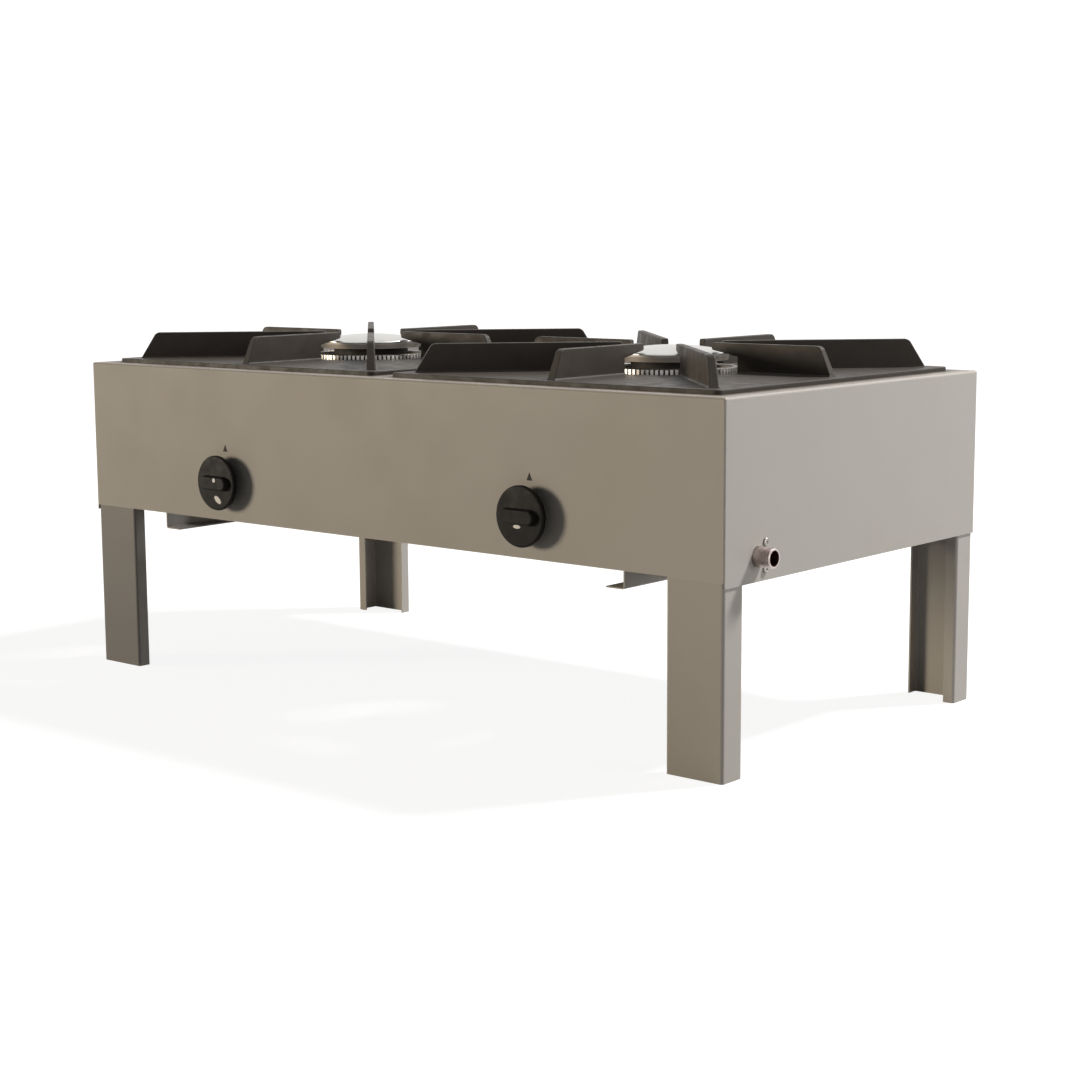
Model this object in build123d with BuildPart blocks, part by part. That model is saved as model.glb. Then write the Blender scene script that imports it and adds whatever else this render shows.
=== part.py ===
from build123d import *
import os

# A low two-burner stock pot range. Millimetres, +Z up, front towards -Y, right towards +X.
# The origin is on the floor, under the middle of the whole range with its knobs and gas inlet.

# Casing: four folded sheet panels, mitred and welded at the corners
plate_size = 460.0  # of the square pan supports, which the whole casing is laid out around
plate_gap = 30.0  # between the two pan supports
plate_side_margin = 25.0  # from a pan support to the casing's side
plate_front_margin = 24.0  # from a pan support to the casing's front or rear
casing_width = 2 * plate_size + plate_gap + 2 * plate_side_margin
casing_depth = plate_size + 2 * plate_front_margin
casing_top = 392.3
front_height = 185.3
side_height = 191.3
sheet = 1.5
bend_radius = 1.5  # inside every fold
corner_radius = 2.0  # of the ground welds at the casing's corners
flange_width = 38.0  # of the ledge that the pan supports stand on

# Legs: channels with a return lip on the outer flange
leg_sheet = 2.0
leg_web = 72.0
leg_outer_flange = 34.3
leg_inner_flange = 16.0
leg_lip = 14.0
leg_top_gap = 4.0

# Centre bar between the pan supports
bar_width = 60.0
bar_depth = 25.0
bar_end_gap = 0.5
bar_tab_length = 25.0
bar_tab_width = 44.0

# Runners for a drip tray
runner_inset = 131.0  # from the casing's side to the runner's web
runner_bottom = 186.0
runner_height = 54.0
runner_flange = 25.0
runner_end_gap = 5.0
runner_tab = 20.0
runner_tab_rise = 6.0  # of the tabs above the front panel's lower edge
runner_notch_clearance = 2.0  # round the gas pipe

# Pan supports: square cast plates with eight radial fins
burner_spacing = plate_size + plate_gap
plate_thickness = 4.8
plate_corner = 8.0
plate_edge_radius = 1.2
opening_radius = 95.0
fin_height = 32.9
fin_root_width = 10.4
fin_root_radius = 2.5  # of the cast fillets along the fins' feet
fin_crest_width = 8.2
fin_crest_radius = 1.2
fin_shoulder_radius = 8.0
fin_tip_radius = 58.6  # from the burner's axis to the fins' inner tips
fin_tip_height = 8.0
fin_tip_corner = 2.0
fin_heel_drop = 15.0  # below the crest, where the fin meets the opening's edge
straight_fin_margin = 12.0  # from the fin's foot to the plate's edge
straight_fin_slope = 15.0  # run of the fin's outer slope
corner_fin_margin = 28.6
corner_fin_slope = 19.9
lug_radius = 8.0
lug_height = 8.0
lug_clearance = 1.5

# Burners
ring_radius = 76.0
ring_wall = 4.0
ring_height = 17.0
ring_top_thickness = 4.0
ring_slots = 84
ring_slot_width = 2.3
ring_slot_depth = 9.0
ring_neck_clearance = 0.5
ring_rise = 3.9  # of the flame ring above the plate
neck_radius = 48.0
neck_wall = 7.0
neck_rise = 7.0  # above the flame ring
deck_thickness = 5.0
deck_lip = 1.0  # of the flame ring past the deck
bowl_wall = 4.0
bowl_rim_height = 12.0
bowl_depth = 54.0
port_count = 16
port_radius = 4.0
tube_radius = 20.0
tube_wall = 3.5
tube_bend = 45.0
ear_width = 26.0
ear_thickness = 8.0
ear_reach = 85.0  # from the burner's axis to the bolt
ear_drop = 32.0  # of the ears' underside below the deck's top
rail_sheet = 3.0
rail_width = 30.0
bolt_radius = 3.0
bolt_clearance = 0.3
bolt_head_radius = 5.77
bolt_head_height = 4.0
bolt_tail = 2.0
nut_height = 5.0

# Burner caps
cap_radius = 66.0
cap_height = 17.0
cap_side = 9.5
cap_side_taper = 1.5  # of the side, in towards its foot
cap_edge_radius = 1.5
cap_seat_height = 1.0
cap_spigot_length = 4.0
cap_spigot_clearance = 0.4
cap_dish = 9.0  # of the hollow underside

# Gas pipe and its fittings
pipe_radius = 10.65
pipe_bore = 8.25
thread_radius = 10.478  # of the inlet's half-inch pipe thread, over its crests
thread_length = 15.0
thread_chamfer = 0.8
pipe_setback = 59.0  # behind the casing's front
pipe_rise = 26.0  # above the side panels' lower edge
pipe_end = 60.0  # past the left tap
pipe_plug_length = 12.0
pipe_plug_head = 5.0
pipe_clearance = 0.5
inlet_reach = 20.0
inlet_plate_depth = 36.0
inlet_plate_height = 44.0
inlet_plate_thickness = 3.0
inlet_plate_corner = 4.0
inlet_collar_radius = 14.5
inlet_collar_length = 8.0
inlet_screw_span = 27.5
inlet_screw_setback = 72.0
screw_radius = 2.4
screw_hole_clearance = 0.2
screw_head_radius = 4.5
screw_head_height = 2.6
hook_width = 20.0
hook_sheet = 2.0
hook_rise = 30.0
hook_lip = 13.0
hook_reach = 75.0

# Gas taps, measured behind the casing's front
tap_rise = 27.8  # of the taps' and knobs' axes above the gas pipe's
panel_hole_radius = 7.0
bonnet_nose = 26.0
bonnet_nose_radius = 10.0
bonnet_face = 4.0
bonnet_plate = 4.0
bonnet_size = 34.0
bonnet_corner = 4.0
bonnet_bore = 7.6
bonnet_screw_span = 23.0
bonnet_screw_radius = 2.0
bonnet_screw_head = 3.6
bonnet_screw_head_height = 2.2
bonnet_screw_length = 7.5
tap_face = 42.0
tap_radius = 14.0
tap_rear = 76.0
tap_outlet_radius = 8.0
tap_outlet_length = 10.0
tap_bore = 3.0
plug_front = 47.0
plug_rear = 73.7
plug_front_radius = 8.0
plug_rear_radius = 6.0
running_clearance = 0.05
plug_end_gap = 0.3
plug_slot_floor = 0.5  # left under the blade when the knob is pressed in
low_port_radius = 0.8
saddle_depth = 33.0
saddle_width = 26.0
saddle_thickness = 11.0
saddle_gap = 2.0
clamp_screw_span = 27.0
clamp_screw_radius = 1.5
clamp_screw_head = 2.8
clamp_screw_head_height = 2.5
injector_radius = 4.0
injector_thread = 6.0
injector_hex_radius = 6.9
injector_hex_length = 6.0
injector_nose = 8.0
injector_tip_radius = 3.0
injector_jet = 0.9

# Air shutters on the mixing tubes
tube_mouth = 112.0
shutter_clearance = 0.3
shutter_wall = 1.6
shutter_length = 22.0
shutter_lead = 3.0  # of its front before the tube's mouth
shutter_hole = 9.5
shutter_windows = 4
shutter_window_width = 10.0
shutter_window_length = 9.0

# Spindles, springs and knobs
press_travel = 3.5
spindle_radius = 4.0
spindle_clearance = 0.06
spindle_flat = 3.0
spindle_collar_radius = 6.8
spindle_collar_length = 3.0
spindle_collar_gap = 0.3
spindle_stem_radius = 3.6
blade_thickness = 3.0
blade_width = 7.0
blade_clearance = 0.06
blade_reach = 4.0  # of the blade into the plug's slot
spring_radius = 5.2
spring_wire = 0.5
spring_pitch = 2.2
spring_turns = 4.5
knob_stop_gap = 1.5  # left behind the knob when it is pressed in
knob_radius = 33.6
knob_hub_radius = 20.0
knob_skirt_back = 11.5
knob_skirt_front = 17.5
knob_dome = 0.8
knob_rim_radius = 2.5
grip_height = 7.0
grip_length = 50.0
grip_width = 18.0
grip_taper = 12.0
grip_edge_radius = 1.8
knob_bore_depth = 16.0

# Sizes and places that follow from the ones above
pipe_height = casing_top - side_height + pipe_rise
knob_height = pipe_height + tap_rise
blade_front = plug_front - press_travel - plug_slot_floor
blade_rear = plug_front + blade_reach
knob_reach = knob_skirt_front + grip_height
knob_gap = press_travel + knob_stop_gap
casing_x = -inlet_reach / 2
casing_y = knob_reach / 2
left = casing_x - casing_width / 2
right = casing_x + casing_width / 2
front = casing_y - casing_depth / 2
rear = casing_y + casing_depth / 2
burner_places = {"left": casing_x - burner_spacing / 2, "right": casing_x + burner_spacing / 2}
plate_top = casing_top + plate_thickness
ring_top = plate_top + ring_rise
deck_top = ring_top - ring_height
neck_top = ring_top + neck_rise
ear_bottom = deck_top - ear_drop
rail_half_gap = ear_reach + rail_width / 2
pipe_y = front + pipe_setback
pipe_left = burner_places["left"] - pipe_end

os.makedirs("parts", exist_ok=True)


def save(piece, name):
    piece.label = name
    export_step(piece, f"parts/{name}.step")


def facing_front(x, y):
    """Plane across the taps' axes that looks towards the front."""
    return Plane((x, y, knob_height), x_dir=(1, 0, 0), z_dir=(0, -1, 0))


def facing_rear(x, y):
    """Plane across the taps' axes that looks towards the rear."""
    return Plane((x, y, knob_height), x_dir=(1, 0, 0), z_dir=(0, 1, 0))


def folded(section, path, thickness, length):
    """Folded sheet: path is the sheet's middle line, drawn out to both sides of the section."""
    with BuildPart() as strip:
        with BuildSketch(section):
            with BuildLine():
                FilletPolyline(*path, radius=bend_radius + thickness / 2)
            trace(line_width=thickness)
        extrude(amount=length / 2, both=True)
    return strip.part


def turned(section, outline):
    """A turned piece: its outline is given as (along the axis, radius)."""
    with BuildPart() as piece:
        with BuildSketch(section):
            with BuildLine():
                Polyline(*outline, close=True)
            make_face()
        revolve(axis=Axis(section.origin, section.x_dir))
    return piece.part


# Casing panels. Each is folded from its own outer face inwards, then mitred at both ends.
def casing_panel(plan, length, height):
    section = Plane(origin=plan.origin, x_dir=plan.y_dir, z_dir=plan.x_dir)
    middle = sheet / 2
    fold_height = casing_top - middle
    fold = ((middle, casing_top - height), (middle, fold_height), (flange_width, fold_height))
    with BuildPart() as panel:
        add(folded(section, fold, sheet, length))
        with BuildSketch(plan):
            with BuildLine():
                Polyline(
                    (-length / 2, 0),
                    (length / 2, 0),
                    (length / 2 - flange_width, flange_width),
                    (flange_width - length / 2, flange_width),
                    close=True,
                )
            make_face()
        extrude(amount=casing_top, mode=Mode.INTERSECT)
        with BuildSketch(Plane((casing_x, casing_y, 0))):
            RectangleRounded(casing_width, casing_depth, corner_radius)
        extrude(amount=casing_top, mode=Mode.INTERSECT)
    return panel.part


with BuildPart() as front_panel:
    add(casing_panel(Plane((casing_x, front, 0), x_dir=(1, 0, 0)), casing_width, front_height))
    with BuildSketch(facing_front(casing_x, front)):
        with GridLocations(burner_spacing, 0, 2, 1):
            Circle(panel_hole_radius)
    extrude(amount=-2 * sheet, mode=Mode.SUBTRACT)
save(front_panel.part, "front_panel")

with BuildPart() as rear_panel:
    add(casing_panel(Plane((casing_x, rear, 0), x_dir=(-1, 0, 0)), casing_width, front_height))
save(rear_panel.part, "rear_panel")

with BuildPart() as side_panel_left:
    add(casing_panel(Plane((left, casing_y, 0), x_dir=(0, -1, 0)), casing_depth, side_height))
save(side_panel_left.part, "side_panel_left")

inlet_face = Plane((right, pipe_y, pipe_height), x_dir=(0, 1, 0), z_dir=(1, 0, 0))
inlet_screw_step = inlet_screw_setback - pipe_setback
with BuildPart() as side_panel_right:
    add(casing_panel(Plane((right, casing_y, 0), x_dir=(0, 1, 0)), casing_depth, side_height))
    with BuildSketch(inlet_face):
        Circle(pipe_radius + pipe_clearance)
        with Locations((inlet_screw_step, 0)):
            with GridLocations(0, inlet_screw_span, 1, 2):
                Circle(screw_radius + screw_hole_clearance)
    extrude(amount=-2 * sheet, mode=Mode.SUBTRACT)
save(side_panel_right.part, "side_panel_right")


# Legs stand in the casing's inner corners. The plan's X and Y both run inwards from the corner.
leg_height = casing_top - sheet - leg_top_gap
leg_middle = leg_sheet / 2
leg_path = (
    (leg_lip, leg_outer_flange - leg_middle),
    (leg_middle, leg_outer_flange - leg_middle),
    (leg_middle, leg_middle),
    (leg_web - leg_middle, leg_middle),
    (leg_web - leg_middle, leg_inner_flange),
)
leg_corners = {
    "front_left": (left + sheet, front + sheet, 1, 1),
    "front_right": (right - sheet, front + sheet, -1, 1),
    "rear_left": (left + sheet, rear - sheet, 1, -1),
    "rear_right": (right - sheet, rear - sheet, -1, -1),
}
for corner, (corner_x, corner_y, inward_x, inward_y) in leg_corners.items():
    turn = inward_x * inward_y
    with BuildPart() as leg:
        plan = Plane((corner_x, corner_y, leg_height / 2), x_dir=(inward_x, 0, 0), z_dir=(0, 0, turn))
        add(folded(plan, leg_path, leg_sheet, leg_height))
    save(leg.part, f"leg_{corner}")


# Centre bar: a channel between the front and rear flanges, with a tab under each of them
bar_length = casing_depth - 2 * (flange_width + bar_end_gap)
bar_middle = sheet / 2
bar_path = (
    (bar_middle - bar_width / 2, -bar_depth),
    (bar_middle - bar_width / 2, -bar_middle),
    (bar_width / 2 - bar_middle, -bar_middle),
    (bar_width / 2 - bar_middle, -bar_depth),
)
with BuildPart() as centre_bar:
    bar_section = Plane((casing_x, casing_y, casing_top), x_dir=(1, 0, 0), z_dir=(0, -1, 0))
    add(folded(bar_section, bar_path, sheet, bar_length))
    with BuildSketch(Plane((casing_x, casing_y, casing_top - sheet))):
        with GridLocations(0, bar_length, 1, 2):
            Rectangle(bar_tab_width, 2 * bar_tab_length)
    extrude(amount=-sheet)
save(centre_bar.part, "centre_bar")


# Tray runners: an L rail whose web turns out at both ends into tabs on the front and rear panels
runner_middle = sheet / 2
runner_run = casing_depth - 2 * sheet
tab_base = casing_top - front_height + runner_tab_rise
runner_top = runner_bottom + runner_height
for side, inward in (("left", 1), ("right", -1)):
    runner_x = casing_x - inward * (casing_width / 2 - runner_inset)
    rail_section = Plane((runner_x, casing_y, runner_bottom), x_dir=(inward, 0, 0), z_dir=(0, -inward, 0))
    rail_path = (
        (runner_flange, runner_middle),
        (runner_middle, runner_middle),
        (runner_middle, runner_height),
    )
    tab_plan = Plane((runner_x, casing_y, (tab_base + runner_top) / 2), x_dir=(inward, 0, 0))
    tab_path = (
        (-runner_tab, runner_middle - runner_run / 2),
        (runner_middle, runner_middle - runner_run / 2),
        (runner_middle, runner_run / 2 - runner_middle),
        (-runner_tab, runner_run / 2 - runner_middle),
    )
    with BuildPart() as tray_runner:
        add(folded(rail_section, rail_path, sheet, runner_run - 2 * runner_end_gap))
        add(folded(tab_plan, tab_path, sheet, runner_top - tab_base))
        if runner_x > pipe_left:
            with BuildSketch(Plane((runner_x, pipe_y, pipe_height), x_dir=(0, 1, 0), z_dir=(1, 0, 0))):
                Circle(pipe_radius + runner_notch_clearance)
                Rectangle(
                    2 * (pipe_radius + runner_notch_clearance),
                    runner_height,
                    align=(Align.CENTER, Align.MIN),
                )
            extrude(amount=2 * sheet, both=True, mode=Mode.SUBTRACT)
    save(tray_runner.part, f"tray_runner_{side}")


# Pan supports
def fin(foot, crest):
    """One fin along +X from the burner's axis, drafted on both faces."""
    crest_height = plate_top + fin_height
    heel_height = crest_height - fin_heel_drop
    base = plate_top - plate_thickness / 2
    root = fin_root_width / 2
    flare = root + fin_root_radius
    root_height = plate_top + fin_root_radius
    with BuildPart() as blade:
        with BuildSketch(Plane.YZ):
            with BuildLine():
                Polyline((-flare, plate_top), (-flare, base), (flare, base), (flare, plate_top))
                TangentArc((flare, plate_top), (root, root_height), tangent=(-1, 0))
                Polyline(
                    (root, root_height),
                    (fin_crest_width / 2, crest_height),
                    (-fin_crest_width / 2, crest_height),
                    (-root, root_height),
                )
                TangentArc((-flare, plate_top), (-root, root_height), tangent=(1, 0))
            make_face()
        extrude(amount=foot)
        with BuildSketch(Plane.XZ):
            with BuildLine():
                FilletPolyline(
                    (foot, base),
                    (foot, plate_top),
                    (crest, crest_height),
                    (fin_tip_radius, crest_height),
                    (fin_tip_radius, crest_height - fin_tip_height),
                    (opening_radius, heel_height),
                    (opening_radius, base),
                    radius=(0, 0, fin_shoulder_radius, fin_tip_corner, fin_tip_corner, 0, 0),
                    close=True,
                )
            make_face()
        extrude(amount=2 * fin_root_width, both=True, mode=Mode.INTERSECT)
        fillet(blade.faces().sort_by(Axis.Z)[-1].edges().filter_by(Axis.X), fin_crest_radius)
    return blade.part


straight_foot = plate_size / 2 - straight_fin_margin
corner_foot = plate_size / 2**0.5 - corner_fin_margin
straight_fin = fin(straight_foot, straight_foot - straight_fin_slope)
corner_fin = fin(corner_foot, corner_foot - corner_fin_slope)
lug_front = flange_width + lug_clearance + lug_radius
for side, burner_x in burner_places.items():
    outward = -1 if side == "left" else 1
    outer_x = casing_x + outward * (casing_width / 2 - lug_front)
    inner_x = casing_x + outward * (bar_width / 2 + lug_clearance + lug_radius)
    plate_plane = Plane((burner_x, casing_y, casing_top))
    with BuildPart() as pan_support:
        with BuildSketch(plate_plane):
            RectangleRounded(plate_size, plate_size, plate_corner)
            Circle(opening_radius, mode=Mode.SUBTRACT)
        extrude(amount=plate_thickness)
        fillet(pan_support.faces().sort_by(Axis.Z)[-1].edges(), plate_edge_radius)
        with Locations(Location((burner_x, casing_y, 0))):
            with PolarLocations(0, 4):
                add(straight_fin)
            with PolarLocations(0, 4, start_angle=45):
                add(corner_fin)
        with BuildSketch(Plane.XY.offset(casing_top)):
            for lug_x in (outer_x, inner_x):
                with Locations((lug_x, front + lug_front), (lug_x, rear - lug_front)):
                    Circle(lug_radius)
        extrude(amount=-lug_height)
    save(pan_support.part, f"pan_support_{side}")


# Rails across the casing that carry the burners
for name, outward in (("front", -1), ("rear", 1)):
    rail_y = casing_y + outward * rail_half_gap
    section = Plane((casing_x, rail_y, ear_bottom), x_dir=(0, -outward, 0), z_dir=(-outward, 0, 0))
    middle = rail_sheet / 2
    path = ((middle, -rail_width), (middle, -middle), (rail_width, -middle))
    with BuildPart() as burner_rail:
        add(folded(section, path, rail_sheet, casing_width - 2 * sheet))
        with BuildSketch(Plane((casing_x, casing_y + outward * ear_reach, ear_bottom))):
            with GridLocations(burner_spacing, 0, 2, 1):
                Circle(bolt_radius + bolt_clearance)
        extrude(amount=-2 * rail_sheet, mode=Mode.SUBTRACT)
    save(burner_rail.part, f"burner_rail_{name}")


# Burners
def bowl_outline(radius, throat, rim_base, rim_top):
    """The bowl's side, from the mixing tube's throat out to the rim, around the burner's axis."""
    Line((0, throat[1]), throat)
    Spline(throat, (radius, rim_base), tangents=((0.35, 1), (0.35, 1)))
    Line((radius, rim_base), (radius, rim_top))


throat_height = deck_top - bowl_depth
rim_base = deck_top - bowl_rim_height
deck_radius = ring_radius - deck_lip
deck_underside = deck_top - deck_thickness
for side, burner_x in burner_places.items():
    axis = Axis((burner_x, casing_y, 0), (0, 0, 1))
    section = Plane((burner_x, casing_y, 0), x_dir=(1, 0, 0), z_dir=(0, -1, 0))
    tube_plane = Plane((burner_x, casing_y, knob_height), x_dir=(0, 1, 0), z_dir=(1, 0, 0))
    mouth = facing_rear(burner_x, front + tube_mouth)
    with BuildLine(tube_plane) as tube_path:
        FilletPolyline(
            (tube_mouth - casing_depth / 2, 0),
            (0, 0),
            (0, throat_height - knob_height + bowl_wall),
            radius=tube_bend,
        )
    with BuildPart() as burner_body:
        with BuildSketch(section):
            with BuildLine():
                bowl_outline(deck_radius, (tube_radius, throat_height), rim_base, deck_top)
                Polyline((deck_radius, deck_top), (neck_radius, deck_top), (neck_radius, neck_top))
                Polyline((neck_radius, neck_top), (0, neck_top), (0, throat_height))
            make_face()
        revolve(axis=axis)
        with BuildSketch(mouth):
            Circle(tube_radius)
        sweep(path=tube_path.line)
        with BuildSketch(Plane((burner_x, casing_y, ear_bottom))):
            SlotCenterToCenter(2 * ear_reach, ear_width, rotation=90)
            with GridLocations(0, 2 * ear_reach, 1, 2):
                Circle(bolt_radius + bolt_clearance, mode=Mode.SUBTRACT)
        extrude(amount=ear_thickness)
        with BuildSketch(section):
            bore = neck_radius - neck_wall
            inner = deck_radius - bowl_wall
            inner_throat = (tube_radius - tube_wall, throat_height)
            with BuildLine():
                bowl_outline(inner, inner_throat, rim_base, deck_underside)
                Polyline((inner, deck_underside), (bore, deck_underside), (bore, neck_top))
                Polyline((bore, neck_top), (0, neck_top), (0, throat_height))
            make_face()
        revolve(axis=axis, mode=Mode.SUBTRACT)
        with BuildSketch(mouth):
            Circle(tube_radius - tube_wall)
        sweep(path=tube_path.line, mode=Mode.SUBTRACT)
        with BuildSketch(Plane((burner_x, casing_y, deck_top))):
            with PolarLocations((neck_radius + deck_radius) / 2, port_count):
                Circle(port_radius)
        extrude(amount=-2 * deck_thickness, mode=Mode.SUBTRACT)
    save(burner_body.part, f"burner_body_{side}")

    ring_inside = neck_radius + ring_neck_clearance
    with BuildPart() as flame_ring:
        with BuildSketch(Plane((burner_x, casing_y, deck_top))):
            Circle(ring_radius)
            Circle(ring_inside, mode=Mode.SUBTRACT)
        extrude(amount=ring_height)
        with BuildSketch(Plane((burner_x, casing_y, deck_top))):
            Circle(ring_radius - ring_wall)
            Circle(ring_inside + ring_wall, mode=Mode.SUBTRACT)
        extrude(amount=ring_height - ring_top_thickness, mode=Mode.SUBTRACT)
        with BuildSketch(Plane((burner_x, casing_y, ring_top))):
            with PolarLocations(ring_radius, ring_slots):
                Rectangle(4 * ring_wall, ring_slot_width)
        extrude(amount=-ring_slot_depth, mode=Mode.SUBTRACT)
    save(flame_ring.part, f"flame_ring_{side}")

    rim_bottom = neck_top + cap_seat_height
    apex = rim_bottom + cap_height
    rim_top = (cap_radius, rim_bottom + cap_side)
    spigot = bore - cap_spigot_clearance
    with BuildPart() as burner_cap:
        with BuildSketch(section) as half_section:
            with BuildLine():
                TangentArc((0, apex), rim_top, tangent=(1, 0))
                Polyline(
                    rim_top,
                    (cap_radius - cap_side_taper, rim_bottom),
                    (neck_radius, rim_bottom),
                    (neck_radius, neck_top),
                    (spigot, neck_top),
                    (spigot, neck_top - cap_spigot_length),
                    (spigot - neck_wall, neck_top - cap_spigot_length),
                    (spigot - neck_wall, neck_top + cap_dish),
                    (0, neck_top + cap_dish),
                    (0, apex),
                )
            make_face()
            fillet(half_section.vertices().sort_by(Axis.X)[-1], cap_edge_radius)
        revolve(axis=axis)
    save(burner_cap.part, f"burner_cap_{side}")

with BuildPart() as burner_bolts:
    with BuildSketch(Plane((casing_x, casing_y, ear_bottom + ear_thickness))):
        with GridLocations(burner_spacing, 2 * ear_reach, 2, 2):
            RegularPolygon(bolt_head_radius, 6)
    extrude(amount=bolt_head_height)
    with BuildSketch(Plane((casing_x, casing_y, ear_bottom + ear_thickness))):
        with GridLocations(burner_spacing, 2 * ear_reach, 2, 2):
            Circle(bolt_radius)
    extrude(amount=-(ear_thickness + rail_sheet + nut_height + bolt_tail))
save(burner_bolts.part, "burner_bolts")

with BuildPart() as burner_nuts:
    with BuildSketch(Plane((casing_x, casing_y, ear_bottom - rail_sheet))):
        with GridLocations(burner_spacing, 2 * ear_reach, 2, 2):
            RegularPolygon(bolt_head_radius, 6)
            Circle(bolt_radius + running_clearance, mode=Mode.SUBTRACT)
    extrude(amount=-nut_height)
save(burner_nuts.part, "burner_nuts")


# Gas pipe: one tube from the inlet mouth, through the right side, to its plug past the left tap
pipe_mouth = Plane((right + inlet_reach, pipe_y, pipe_height), x_dir=(0, 1, 0), z_dir=(1, 0, 0))
pipe_length = right + inlet_reach - pipe_left
with BuildPart() as manifold_pipe:
    with BuildSketch(pipe_mouth):
        Circle(pipe_radius)
        Circle(pipe_bore, mode=Mode.SUBTRACT)
    extrude(amount=-pipe_length)
    with BuildSketch(Plane((casing_x, pipe_y, pipe_height))):
        with GridLocations(burner_spacing, 0, 2, 1):
            Circle(tap_bore)
    extrude(amount=2 * pipe_radius, mode=Mode.SUBTRACT)
    with BuildSketch(pipe_mouth):
        Circle(2 * pipe_radius)
        Circle(thread_radius, mode=Mode.SUBTRACT)
    extrude(amount=-thread_length, mode=Mode.SUBTRACT)
    mouth_edges = manifold_pipe.edges().filter_by(GeomType.CIRCLE).group_by(Axis.X)[-1]
    chamfer(mouth_edges.sort_by(SortBy.RADIUS)[-1], thread_chamfer)
save(manifold_pipe.part, "manifold_pipe")

with BuildPart() as manifold_plug:
    with BuildSketch(Plane((pipe_left, pipe_y, pipe_height), x_dir=(0, 1, 0), z_dir=(1, 0, 0))):
        Circle(pipe_bore - running_clearance)
    extrude(amount=pipe_plug_length)
    with BuildSketch(Plane((pipe_left, pipe_y, pipe_height), x_dir=(0, 1, 0), z_dir=(1, 0, 0))):
        RegularPolygon(pipe_radius, 6)
    extrude(amount=-pipe_plug_head)
save(manifold_plug.part, "manifold_plug")

inlet_plate_face = inlet_face.offset(-sheet)
with BuildPart() as inlet_bracket:
    with BuildSketch(inlet_plate_face):
        with Locations((inlet_screw_step / 2, 0)):
            RectangleRounded(inlet_plate_depth, inlet_plate_height, inlet_plate_corner)
    extrude(amount=-inlet_plate_thickness)
    with BuildSketch(inlet_plate_face.offset(-inlet_plate_thickness)):
        Circle(inlet_collar_radius)
    extrude(amount=-inlet_collar_length)
    with BuildSketch(inlet_plate_face):
        Circle(pipe_radius + running_clearance)
        with Locations((inlet_screw_step, 0)):
            with GridLocations(0, inlet_screw_span, 1, 2):
                Circle(screw_radius + running_clearance)
    extrude(amount=-2 * inlet_collar_length, mode=Mode.SUBTRACT)
save(inlet_bracket.part, "inlet_bracket")

with BuildPart() as inlet_screws:
    with BuildSketch(inlet_face):
        with Locations((inlet_screw_step, 0)):
            with GridLocations(0, inlet_screw_span, 1, 2):
                Circle(screw_head_radius)
    extrude(amount=screw_head_height)
    fillet(inlet_screws.faces().group_by(Axis.X)[-1].edges(), screw_head_height / 2)
    with BuildSketch(inlet_face):
        with Locations((inlet_screw_step, 0)):
            with GridLocations(0, inlet_screw_span, 1, 2):
                Circle(screw_radius)
    extrude(amount=-(sheet + inlet_plate_thickness + screw_head_height))
save(inlet_screws.part, "inlet_screws")

hook_middle = hook_sheet / 2
hook_floor = pipe_height - pipe_radius - hook_middle
hook_path = (
    (sheet + hook_middle, hook_floor + hook_rise),
    (sheet + hook_middle, hook_floor),
    (hook_reach, hook_floor),
    (hook_reach, hook_floor + hook_lip),
)
with BuildPart() as manifold_bracket:
    hook_x = (pipe_left + burner_places["left"] - bonnet_size / 2) / 2
    hook_section = Plane((hook_x, front, 0), x_dir=(0, 1, 0), z_dir=(1, 0, 0))
    add(folded(hook_section, hook_path, hook_sheet, hook_width))
save(manifold_bracket.part, "manifold_bracket")


# Gas taps. Every tap's section runs back from the casing's front along the tap's axis.
def plug_cone(clearance, rear):
    """The tapered plug's outline, or its seat with a clearance."""
    slope = (plug_front_radius - plug_rear_radius) / (plug_rear - plug_front)
    rear_radius = plug_front_radius - slope * (rear - plug_front)
    return (
        (plug_front, 0),
        (plug_front, plug_front_radius + clearance),
        (rear, rear_radius + clearance),
        (rear, 0),
    )


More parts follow.
